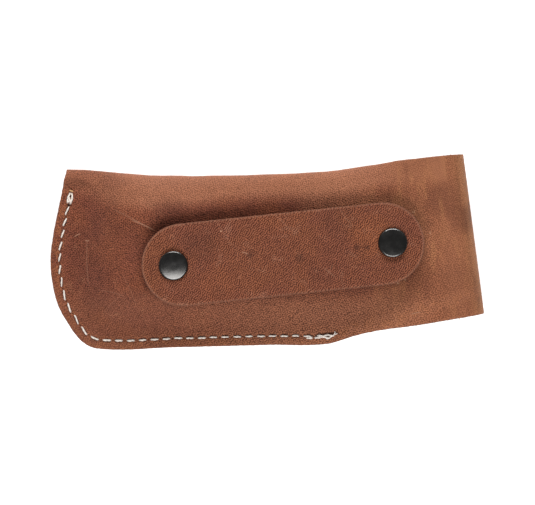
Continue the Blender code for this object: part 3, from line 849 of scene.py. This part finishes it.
# Scratches: start and end in plan, width, bow, and how pale (+) or dark (-)
BODY_SCRATCHES = [
    ((-66.1, 18.2), (-47.9, 8.9), 0.45, 0.2, 0.14),
    ((-58.0, 13.6), (-47.9, 9.1), 0.42, 0.1, 0.34),
    ((-71.5, -16.5), (-60.5, -19.5), 0.34, 0.8, 0.13),
    ((-82.2, 6.2), (-79.5, 7.6), 0.30, 0.3, 0.6),
    ((-77.6, 5.0), (-75.6, 4.9), 0.30, -0.35, 0.6),
    ((-76.6, 6.0), (-76.0, -15.0), 0.42, -0.5, 0.15),
    ((-62.0, -9.0), (-55.5, -24.0), 0.36, 0.6, 0.08),
    ((-71.0, -28.0), (-60.0, -17.0), 0.30, 0.8, 0.08),
    ((60.5, -26.5), (64.5, -25.6), 0.34, 0.2, 0.4),
    ((70.0, -31.5), (72.5, -28.5), 0.34, 0.2, 0.35),
]
STRAP_SCRATCHES = [
    ((-11.3, -0.2), (-8.3, -1.0), 0.34, 0.2, 0.45),
    ((-8.0, -0.4), (-6.6, -2.4), 0.42, 0.0, -0.6),
    ((36.0, 1.9), (43.0, 1.6), 0.40, 0.2, -0.5),
    ((-20.3, 8.6), (-19.4, 8.8), 0.40, 0.0, 0.8),
    ((23.0, -6.5), (28.5, -11.0), 0.34, 0.2, 0.2),
    ((27.5, -5.0), (24.0, -10.5), 0.34, 0.3, 0.15),
    ((-22.0, 13.0), (-17.0, 5.0), 0.40, 0.3, 0.1),
    ((2.0, 16.0), (9.0, 9.0), 0.36, 0.6, 0.14),
    ((30.0, 18.5), (36.0, 11.0), 0.36, -0.5, 0.12),
]
BODY = dict(base=(0.163, 0.046, 0.025), warm=(0.196, 0.056, 0.026), dark=(0.088, 0.024, 0.013),
            light=(0.36, 0.15, 0.076), crease=(0.26, 0.21, 0.17), ridge=(1.67, 1.78, 1.86))
STRAP = dict(base=(0.160, 0.047, 0.024), warm=(0.180, 0.054, 0.024), dark=(0.078, 0.023, 0.012),
             light=(0.36, 0.17, 0.105), crease=(0.26, 0.18, 0.16), ridge=(1.66, 1.82, 1.90))
body_leather = leather_finish("oiled_body_leather", scratches=BODY_SCRATCHES, **BODY)
strap_leather = leather_finish("pebbled_strap_leather", scratches=STRAP_SCRATCHES, strap=True, **STRAP)
waxed_thread = thread_finish("waxed_thread", (0.88, 0.81, 0.74), (0.68, 0.60, 0.53), (0.38, 0.30, 0.25))
singed_thread = thread_finish("singed_thread", (0.62, 0.36, 0.17), (0.50, 0.27, 0.12), (0.30, 0.15, 0.07))
loose_fibre = fibre_finish("loose_fibre")
black_plate = plated_finish("black_plated_cap", (0.064, 0.062, 0.060), 0.19)
gunmetal = plated_finish("gunmetal_plate", (0.07, 0.07, 0.075), 0.32)
spring_wire = plated_finish("spring_wire", (0.42, 0.42, 0.43), 0.28)


# ---- body hide

PANEL_COLUMNS, PANEL_ROWS, FOLD_ROWS, BEND_STEPS = 208, 76, 18, 24


def hide_coordinates(grid):
    """Running lengths of a grid of points along its rows and columns, in millimetres of flat hide."""
    along, down = (np.cumsum(np.linalg.norm(np.diff(grid, axis=k, prepend=first), axis=2), k)
                   for k, first in ((1, grid[:, :1]), (0, grid[:1])))
    return stacked(along.mean(0, keepdims=True), down)


def body_relief(x, y, travel, inward):
    """Height added to the grain face: slow waves, the sunk stitch line and the pull of each hole."""
    waves = 0.16 * drift(x, y, 34, 1) + 0.07 * drift(x, y, 13, 2)
    ends = smooth((travel + 1.5) / 1.5) * smooth((SEAM_LENGTH + 1.5 - travel) / 1.5)
    phase = (np.mod(stitches_passed(travel) + 0.5, 1.0) - 0.5) * STITCH_PITCH
    sunk = 0.28 * np.exp(-(inward / 0.95) ** 2) + 0.12 * np.exp(-(phase**2 + inward**2) / 0.6)
    return waves * smooth(inward / 6) - sunk * ends


def pouch_hide():
    """Back panel, top fold, front panel and the first 60 degrees of the flap's bend, as one hide.

    The back dips under the strap by VALLEY but stays level round the snaps, and drops by FOLD_DROP
    towards the top fold. The hide goes pale where stretched over the top fold, the front's edge and the
    bend; over the top fold this paleness is partly painted light on the fold's lit face.
    """
    u = np.linspace(0, 1, PANEL_COLUMNS + 1)[None]
    v = (np.linspace(0, 1, PANEL_ROWS) ** 1.2)[:, None]
    upper = np.radians(np.linspace(90, 0, FOLD_ROWS + 1)[1:])[:, None]
    lower = np.radians(np.linspace(0, -90, FOLD_ROWS + 1)[1:])[:, None]
    px, py = panel_point(u, v)
    back = np.concatenate([stacked(px, py, back_height(u, v)), fold_surface(u, upper)], 0)
    from_centre = back[:, -1, :2] - FLAP_FOLD_CENTRE
    across = from_centre @ (-math.sin(FLAP_TURN), math.cos(FLAP_TURN)) / FLAP_HALF_WIDTH
    angle = np.radians(np.linspace(0, 60, BEND_STEPS + 1)[1:])[None]
    back = np.concatenate([back, bend_surface(across[:, None], angle)], 1)
    mouth = round(PANEL_COLUMNS * MOUTH) + 1
    um, down = u[:, :mouth], v[::-1]
    front_panel = stacked(*panel_point(um, down), front_height(um, down))
    front = np.concatenate([fold_surface(um, lower), front_panel[1:]], 0)
    hide_back = hide_coordinates(back)
    hide_front = hide_coordinates(np.concatenate([back[-1:, :mouth], front], 0))[1:]
    hide_front[..., 0] = hide_back[:1, :mouth, 0]
    hide_front[..., 1] += hide_back[-1:, :mouth, 1]
    first = numbered(*back.shape[:2])
    second = np.concatenate([first[-1:, :mouth], numbered(*front.shape[:2], first.size)], 0)
    faces = np.concatenate([quads(first), quads(second)])
    points = np.concatenate([back.reshape(-1, 3), front.reshape(-1, 3)])
    hide = np.concatenate([hide_back.reshape(-1, 2), hide_front.reshape(-1, 2)])
    joined = np.zeros(len(points), bool)
    joined[first[:, -1]] = True
    travel, inward = seam_coordinates(points[:, 0], points[:, 1])
    for rows in (first[PANEL_ROWS:], second[1:FOLD_ROWS + 1]):
        inward[rows] = 12.0
    over_back, to_bend_end = first[:, :PANEL_COLUMNS + 1], np.arange(first.shape[1])[::-1]
    crest = crest_point(u)
    back_gap = np.hypot(px - crest[0], py - crest[1])
    relief = body_relief(points[:, 0], points[:, 1], travel, inward)
    on_fold = np.sin(upper) ** 2 + 0 * u
    relief[over_back] -= FOLD_DROP * np.concatenate([np.clip(1 - back_gap / FOLD_EASE, 0, 1) ** 2, on_fold])
    valley = VALLEY * smooth((back_gap - 8) / 10) * smooth((px + 75) / 35) * smooth((52 - px) / 26)
    from_snap = np.minimum(*(np.hypot(px - at[0], py - at[1]) for at in (SNAP_LEFT, SNAP_RIGHT)))
    from_seam = edge_distances(u, v)[1]
    relief[over_back[:PANEL_ROWS]] -= valley * smooth((from_snap - 6.5) / 6) * smooth((from_seam - 14) / 16)
    relief[first] *= smooth((to_bend_end - BEND_STEPS) / 20)
    fold_pale_and_lit = np.zeros(len(points))
    near_fold = 0.66 * np.concatenate([1 - smooth((back_gap - 0.5) / 7.5), 1 + 0 * upper * u])
    fold_pale_and_lit[over_back] = near_fold * (0.55 + 0.45 * smooth((crest[0] + 78) / 30))
    fold_pale_and_lit[second[1:]] = 0.8 * (1 - smooth(np.arange(len(second) - 1) / 30))[:, None]
    fold_pale_and_lit[first] += FLAP_PULL * smooth((BEND_STEPS + 16 - to_bend_end) / 12)
    seam = stacked(stitches_passed(travel), np.clip(inward, -12, 12), np.clip(fold_pale_and_lit, 0, 1))
    made = leather("body_hide", points, faces, hide, body_leather, "body_leather", LEATHER,
                   joined, relief, seam)
    return made, hide_back[0, -1, 0]


def flap_pieces(run):
    """Middle of the bend, then its end with the flat flap and round tongue; run is the hide used so far."""
    across = np.linspace(-1, 1, 81)[:, None]
    arc = FLAP_RADIUS * math.radians(60)
    middle, turn = (bend_surface(across, np.radians(np.linspace(a, a + 60, 25))[None]) for a in (60, 120))
    t = np.linspace(0, 1, 45)[None, 1:]
    half = FLAP_HALF_WIDTH - FLAP_TAPER * (FLAP_RADIUS * math.pi + FLAP_STRAIGHT * t)
    straight = stacked(*flap_point(-FLAP_RADIUS - FLAP_STRAIGHT * t, across * half), FLAP_LEVEL)
    out, narrowed = half_disc(across, 31, FLAP_TONGUE, half[0, -1])
    tongue = stacked(*flap_point(-FLAP_RADIUS - FLAP_STRAIGHT - out, narrowed), FLAP_LEVEL)
    last = np.concatenate([turn, straight, tongue], 1)
    fading = 1 - smooth(np.arange(last.shape[1]) / 40 - 0.3)
    made = []
    for name, grid, length, share, joints in (
            ("flap_bend", middle, arc, 1.0, [0, -1]),
            ("flap", last, arc + FLAP_STRAIGHT + FLAP_TONGUE, fading, [0])):
        rows, columns = grid.shape[:2]
        hide = stacked(run + np.linspace(0, 1, columns) * length, 70 + across * FLAP_HALF_WIDTH)
        index = numbered(rows, columns)
        joined = np.zeros(rows * columns, bool)
        joined[index[:, joints]] = True
        seam = stacked(-50.0, 12.0, np.broadcast_to(FLAP_PULL * share, (rows, columns)))
        made.append(leather(name, grid.reshape(-1, 3), quads(index), hide.reshape(-1, 2), body_leather,
                            "body_leather", LEATHER, joined, seam=seam.reshape(-1, 3)))
        run += arc
    return made


def bend_metres(degrees):
    """Middle of the flap's bend at an angle, in metres."""
    return tuple(bend_surface(np.array(0.0), np.array(math.radians(degrees))) * MM)


# ---- belt strap

def strap_height(along, across):
    """Top face: flat at the snaps, arched between them, dished under each cap."""
    nearest = np.minimum(along, SNAP_SPACING - along)
    arch = STRAP_ARCH * smooth((nearest - 8) / 20)
    gap = np.minimum(np.hypot(along, across), np.hypot(along - SNAP_SPACING, across))
    return STRAP_UNDER + STRAP_LEATHER + arch - 0.3 * (1 - smooth((gap - 5.8) / 3.5))


def strap_part(name, start, end, round_end):
    """Length of strap from start to end, with a half-disc on its outer end."""
    across = np.linspace(-1, 1, 49)[:, None]
    straight, width = np.broadcast_arrays(np.linspace(start, end, int(abs(end - start) / 0.8)),
                                          across * STRAP_HALF_WIDTH)
    reach, bow = half_disc(across, 25, STRAP_HALF_WIDTH, STRAP_HALF_WIDTH)
    if round_end > 0:
        along, width = np.concatenate([straight, end + reach], 1), np.concatenate([width, bow], 1)
    else:
        along = np.concatenate([start - reach[:, ::-1], straight], 1)
        width = np.concatenate([bow[:, ::-1], width], 1)
    index = numbered(*along.shape)
    joined = np.zeros(along.size, bool)
    joined[index[:, 0 if round_end > 0 else -1]] = True
    points = stacked(*strap_plan(along, width), strap_height(along, width)).reshape(-1, 3)
    hide = stacked(along, width).reshape(-1, 2) + (300, 40)
    relief = 0.07 * drift(points[:, 0], points[:, 1], 21, 7) * smooth((12 - np.abs(width)) / 6).ravel()
    relief *= smooth(np.abs(along.ravel() - STRAP_SPLIT) / 4)
    return leather(name, points, quads(index), hide, strap_leather, "strap_leather", STRAP_LEATHER,
                   joined, relief)


def strap_metres(along):
    """Middle of the strap's top face at a distance along it, in metres."""
    x, y = strap_plan(along, 0.0)
    return (x * MM, y * MM, float(strap_height(np.array(along), np.array(0.0))) * MM)


# ---- thread

# Strands sewn over the seam's first and last lengths: start and end from the seam's start or end,
# inward at start and end, bow, lift and thickness
SEWN_OVER_START = [
    (-0.5, 4.6, 0.1, 0.25, 0.75, 0.15, 1.0), (-0.45, 4.4, -0.1, -0.35, -0.55, 0.12, 1.0),
    (1.5, 4.5, -0.5, 0.75, 0.1, 0.45, 0.9), (2.6, 4.3, 0.65, -0.75, 0.0, 0.40, 0.85)]
SEWN_OVER_END = [
    (-12.9, -10.2, -0.75, -0.8, -0.1, 0.15, 1.0), (-12.0, -10.6, -0.1, -0.6, 0.1, 0.4, 0.8),
    (-9.6, -6.0, -0.75, -0.55, -0.15, 0.2, 1.05), (-8.4, -5.6, 0.0, -0.3, 0.1, 0.35, 0.9),
    (-6.9, -3.0, -0.5, -1.65, 0.1, 0.25, 1.0), (-7.0, -3.4, -0.9, -0.15, 0.25, 0.5, 0.85),
    (-4.6, -1.2, 0.0, -1.15, 0.1, 0.35, 0.9), (-4.9, -2.0, -1.5, -0.9, -0.2, 0.3, 0.8),
    (-1.9, -0.3, -1.2, 0.1, 0.1, 0.5, 0.6), (-1.0, 0.3, -0.9, -0.75, 0.2, 0.6, 0.45),
    (-0.9, -0.4, -0.6, 0.6, 0.1, 0.7, 0.35)]
SINGED_END = [(-1.15, -0.95, -0.75, 0.65, 0.0, 0.25, 0.85)]


def stitches(side):
    """Strands of one face as rows like those of SEWN_OVER_START.

    Each stitch runs from hole to hole, and those of the closed end are thinner and slant outwards.
    """
    i = np.arange(STITCHES)
    closed_end = smooth((13 - i) / 3)
    start = HOLES[:-1] + 0.86 - 0.3 * closed_end + 0.2 * (scatter(STITCHES, 2) - 0.5)
    end = HOLES[1:] - 0.90 + 0.3 * closed_end + 0.4 * (scatter(STITCHES, 6) - 0.5)
    slant = 0.34 * closed_end + 0.12 * (scatter(STITCHES, 4) - 0.5)
    inward = 0.24 * (scatter(STITCHES, 9) - 0.5) - 0.9 * smooth((i - STITCHES + 2.6) / 2)
    rows = np.stack([start, end, inward + slant, inward - slant, 0.16 * (scatter(STITCHES, 5) - 0.5),
                     0.04 * scatter(STITCHES, 8), 0.92 - 0.16 * closed_end + 0.16 * scatter(STITCHES, 7)], -1)
    if side < 0:
        return rows
    from_start = np.array([SEAM_LENGTH] * 2 + [0] * 5)
    return np.concatenate([rows[1:-2], SEWN_OVER_START, SEWN_OVER_END + from_start])


def strands(name, rows, side, finish, slot):
    """Strands lying on one face: each is a tube whose height is 0.14 - 1.2 |2t - 1|^6 above it.

    The tube's radius swells by cos(2a + PLY_TWIST t) so that two twisted plies show, and tapers as
    (1 - |2t - 1|^5)^0.5 to its ends; it bows sideways as 4t(1 - t).
    """
    rings, sides = 27, 12
    t = np.linspace(0, 1, rings)[None]
    start, end, first, last, bow, lift, thick = rows.T[:, :, None]
    travel = mix(start, end, t)
    plan = on_seam(travel, mix(first, last, smooth(t)) + bow * 4 * t * (1 - t))
    face = seam_front(plan[..., 0], plan[..., 1]) + (SEAM_PLY if side > 0 else 0)
    height = 0.14 + lift - (1.2 + lift) * np.abs(2 * t - 1) ** 6
    centres = np.concatenate([plan, (face + side * height)[..., None]], -1)
    a = once_round(sides)
    swell = 0.88 + 0.12 * np.cos(2 * a + travel[..., None] * PLY_TWIST)
    taper = np.maximum(np.sqrt(np.clip(1 - np.abs(2 * t - 1) ** 5, 0.0, 1)), 0.03) * thick
    points, faces = tubes(centres, THREAD_RADIUS * swell * taper[..., None], sides)
    lay = stacked(travel[..., None], a, 0.0)
    return put(name, points, faces, finish, slot, lay=lay.reshape(-1, 3))


# ---- stray fibres

def fibres(name, roots, reach, finish, slot):
    """Loose flesh fibres at cut edges: root + reach t + sideways curl t^2, thinning to nothing.

    Roots are (x, y, height, outward angle in degrees) rows; each root carries three fibres.
    """
    roots = np.repeat(np.array(roots, float), 3, axis=0)
    n = len(roots)
    turn = np.radians(roots[:, 3] + 110 * (scatter(n, 21) - 0.5))
    length = reach * (0.45 + 0.75 * scatter(n, 22))
    curl = length * 1.1 * (scatter(n, 23) - 0.5)
    t = np.linspace(0, 1, 9)[None]
    out = stacked(np.cos(turn), np.sin(turn))
    sideways = 1.2 * (scatter(n, 24) - 0.5)[:, None] + curl[:, None] * t**2
    plan = (roots[:, None, :2] + sideways[..., None] * left_of(out)[:, None]
            + (length[:, None] * t - 0.3)[..., None] * out[:, None])
    height = roots[:, 2:3] + 0.5 * (scatter(n, 25)[:, None] - 0.3) * t
    centres = np.concatenate([plan, height[..., None]], -1)
    points, faces = tubes(centres, 0.11 * (1.05 - t)[..., None], 5)
    return put(name, points, faces, finish, slot)


# ---- press studs

def snap(name, at, face, side, leather_over, top_body, lean=0.0):
    """The five pieces of a press stud: four profiles of (radius, height out from the panel), turned,
    and an open ring of spring wire between the stud and the socket.

    A cap's top leans: its height changes by y tan(lean), fading to nothing at its foot.
    """
    under, top = -LEATHER - GAP, SNAP_STACK
    rim = top + leather_over
    cap_top = [(r, rim + 1.82 - 0.50 * (r / 5.5) ** 2 - 0.05 * math.exp(-(r / 1.5) ** 2))
               for r in np.linspace(5.5, 0, 17)]
    profiles = {
        "post": [(0, under - 0.8), (5.2, under - 0.8), (5.5, under - 0.5), (5.5, under), (1.6, under),
                 (1.6, 1.3), (2.2, 1.35), (2.0, 1.6), (0, 1.6)],
        "stud": [(1.9, GAP), (5.6, GAP), (5.6, 0.8), (2.8, 1.0), (2.8, 1.7), (3.2, 2.2), (3.1, 2.7),
                 (2.8, 2.9), (2.4, 2.7), (2.4, 1.0), (1.9, 1.0)],
        "socket": [(4.4, 1.3), (5.7, 1.3), (6.0, 1.7), (6.0, top - GAP), (1.9, top - GAP),
                   (1.9, top - 0.7), (3.8, top - 0.7), (3.9, 2.3), (4.4, 2.0)],
        "cap": [(0, 2.6), (2.0, 2.6), (2.2, 2.85), (1.6, 2.9), (1.6, rim + 0.05), (5.9, rim + 0.05),
                (6.2, rim + 0.15), (6.25, rim + 0.4), (6.22, rim + 0.65), (6.14, rim + 0.87),
                (6.0, rim + 1.05), (5.84, rim + 1.18), (5.68, rim + 1.27)] + cap_top,
    }
    for part, profile in profiles.items():
        cap, hollow = part == "cap", part in ("stud", "socket")
        line = np.array(profile) if cap else eased(profile + profile[:1])[:-1] if hollow else eased(profile)
        points, faces = lathe(line, 96, (*at, face), side)
        if cap:
            foot = smooth((side * (points[:, 2] - face) - rim - 0.05) / 0.8)
            points[:, 2] += foot * (points[:, 1] - at[1]) * math.tan(math.radians(lean))
        made = put(f"{name}_{part}_turned", points, faces, black_plate if cap else gunmetal,
                   "snap_cap" if cap else "snap_metal", sharp=35, weld=True)
        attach(made, "pouch" if part in ("post", "stud") else top_body)
        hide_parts(f"{name}_{part}")
    turn = np.radians(np.linspace(15, 345, 61))
    ring = stacked(at[0] + 3.75 * np.cos(turn), at[1] + 3.75 * np.sin(turn), face + side * 1.7)[None]
    radius = 0.25 * np.sqrt(np.clip(1 - np.abs(np.linspace(-1, 1, 61)) ** 40, 0.0004, 1))[None, :, None]
    points, faces = tubes(ring, radius, 8)
    made = put(f"{name}_spring_wire", points, faces, spring_wire, "snap_spring")
    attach(made, top_body)
    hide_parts(f"{name}_spring")


# ---- assembly

hide, hide_run = pouch_hide()
bend, flap = flap_pieces(hide_run)
bend_metres(0)
bend_metres(60)
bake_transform(hide)
bend_metres(60)
bend_metres(120)
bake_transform(bend)
bend_metres(120)
bend_metres(180)
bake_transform(flap)
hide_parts("pouch_leather", "flap_bend_upper")
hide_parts("flap_bend_lower")
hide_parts("flap_leather")

BEND_LENGTH = 11.5          # strap length back from each joint to a second point found on the strap
strap_right = strap_part("strap_right_length", STRAP_SPLIT, SNAP_SPACING - STRAP_END_INSET, 1)
strap_left = strap_part("strap_left_length", STRAP_END_INSET, STRAP_SPLIT, -1)
strap_metres(STRAP_JOINTS[1])
strap_metres(STRAP_JOINTS[1] - BEND_LENGTH)
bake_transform(strap_right)
strap_metres(STRAP_JOINTS[0])
strap_metres(STRAP_JOINTS[0] - BEND_LENGTH)
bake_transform(strap_left)
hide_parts("strap_tail", "strap_middle")
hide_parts("strap_head")

for thread_name, thread_side in (("needle_thread", 1), ("bobbin_thread", -1)):
    sewn = strands(thread_name + "_sewn", stitches(thread_side), thread_side, waxed_thread, "thread")
    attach(sewn, "pouch")
    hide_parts(thread_name)
singed_end = strands("singed_thread_end", np.array(SINGED_END), 1, singed_thread, "thread")
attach(singed_end, "pouch")

loose = fibres("body_edge_fibres", [
    (77.4, 40.9, 13.6, 95), (70.8, -29.9, 18.2, 265), (81.3, -28.2, 18.2, 275), (66.5, -30.4, 18.2, 270),
    (86.0, -27.0, 18.0, 300), (-1.0, -39.2, 4.2, 270), (14.5, -38.9, 4.2, 270), (-30.0, -40.0, 4.2, 270)],
    1.1, loose_fibre, "body_leather")
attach(loose, "pouch")
loose = fibres("strap_edge_fibres", [
    (61.6, 16.6, 24.0, 45), (58.2, -11.6, 24.0, -55), (55.0, -13.0, 24.0, -70), (38.0, -14.6, 24.0, -80),
    (68.6, 8.0, 24.0, 10)], 1.5, loose_fibre, "strap_leather")
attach(loose, "pouch")

snap("strap_left", SNAP_LEFT, TOP, 1, STRAP_LEATHER, "strap_end", lean=5.8)
snap("strap_right", SNAP_RIGHT, TOP, 1, STRAP_LEATHER, "pouch", lean=-3.0)
snap("flap", FLAP_SNAP, FRONT_RAISED, -1, LEATHER, "flap")


# ---- floor, light and camera

def plain_floor():
    """A flat square that gives off a little light of its own."""
    mesh = bpy.data.meshes.new("floor")
    mesh.from_pydata([(-3, -3, 0), (3, -3, 0), (3, 3, 0), (-3, 3, 0)], [], [(0, 1, 2, 3)])
    made, w, shader = start_material("pale_floor")
    w.connect(shader, {"Base Color": (0.94, 0.94, 0.94, 1), "Roughness": 0.9,
                       "Emission Color": (1, 1, 1, 1), "Emission Strength": 0.5})
    mesh.materials.append(made)
    floor = bpy.data.objects.new("floor", mesh)
    link(floor)


def soft_light(name, place, aim, size, power):
    """A rectangular lamp, turned to its aim and not seen itself."""
    lamp = bpy.data.lights.new(name, "AREA")
    lamp.shape, lamp.size, lamp.size_y, lamp.energy = "RECTANGLE", size[0], size[1], power
    made = bpy.data.objects.new(name, lamp)
    made.location = place
    made.rotation_mode = "QUATERNION"
    made.rotation_quaternion = (Vector(aim) - Vector(place)).to_track_quat("-Z", "Y")
    made.visible_camera = False
    link(made)


plain_floor()
soft_light("near_softbox", (0.0, -0.51, 0.61), (0, 0, 0), (0.6, 0.42), 6.0)
soft_light("far_softbox", (0.0, 0.69, 0.40), (0, 0, 0), (0.6, 0.26), 7.3)

world = bpy.data.worlds.new("studio")
world.use_nodes = True
sky = world.node_tree.nodes["Background"].inputs
sky["Color"].default_value, sky["Strength"].default_value = (1, 1, 1, 1), 0.13
bpy.context.scene.world = world
bpy.context.scene.view_settings.view_transform = "Standard"

CAMERA_HEIGHT = 2.8
FRAME_WIDTH, FRAME_LEVEL = 0.22684, 0.010       # width of the view, and the height where it is that wide
lens = bpy.data.cameras.new("camera")
lens.sensor_width = 36.0
lens.lens = lens.sensor_width * (CAMERA_HEIGHT - FRAME_LEVEL) / FRAME_WIDTH
camera = bpy.data.objects.new("camera", lens)
camera.location = (-0.0002, -0.0003, CAMERA_HEIGHT)
link(camera)
bpy.context.scene.camera = camera
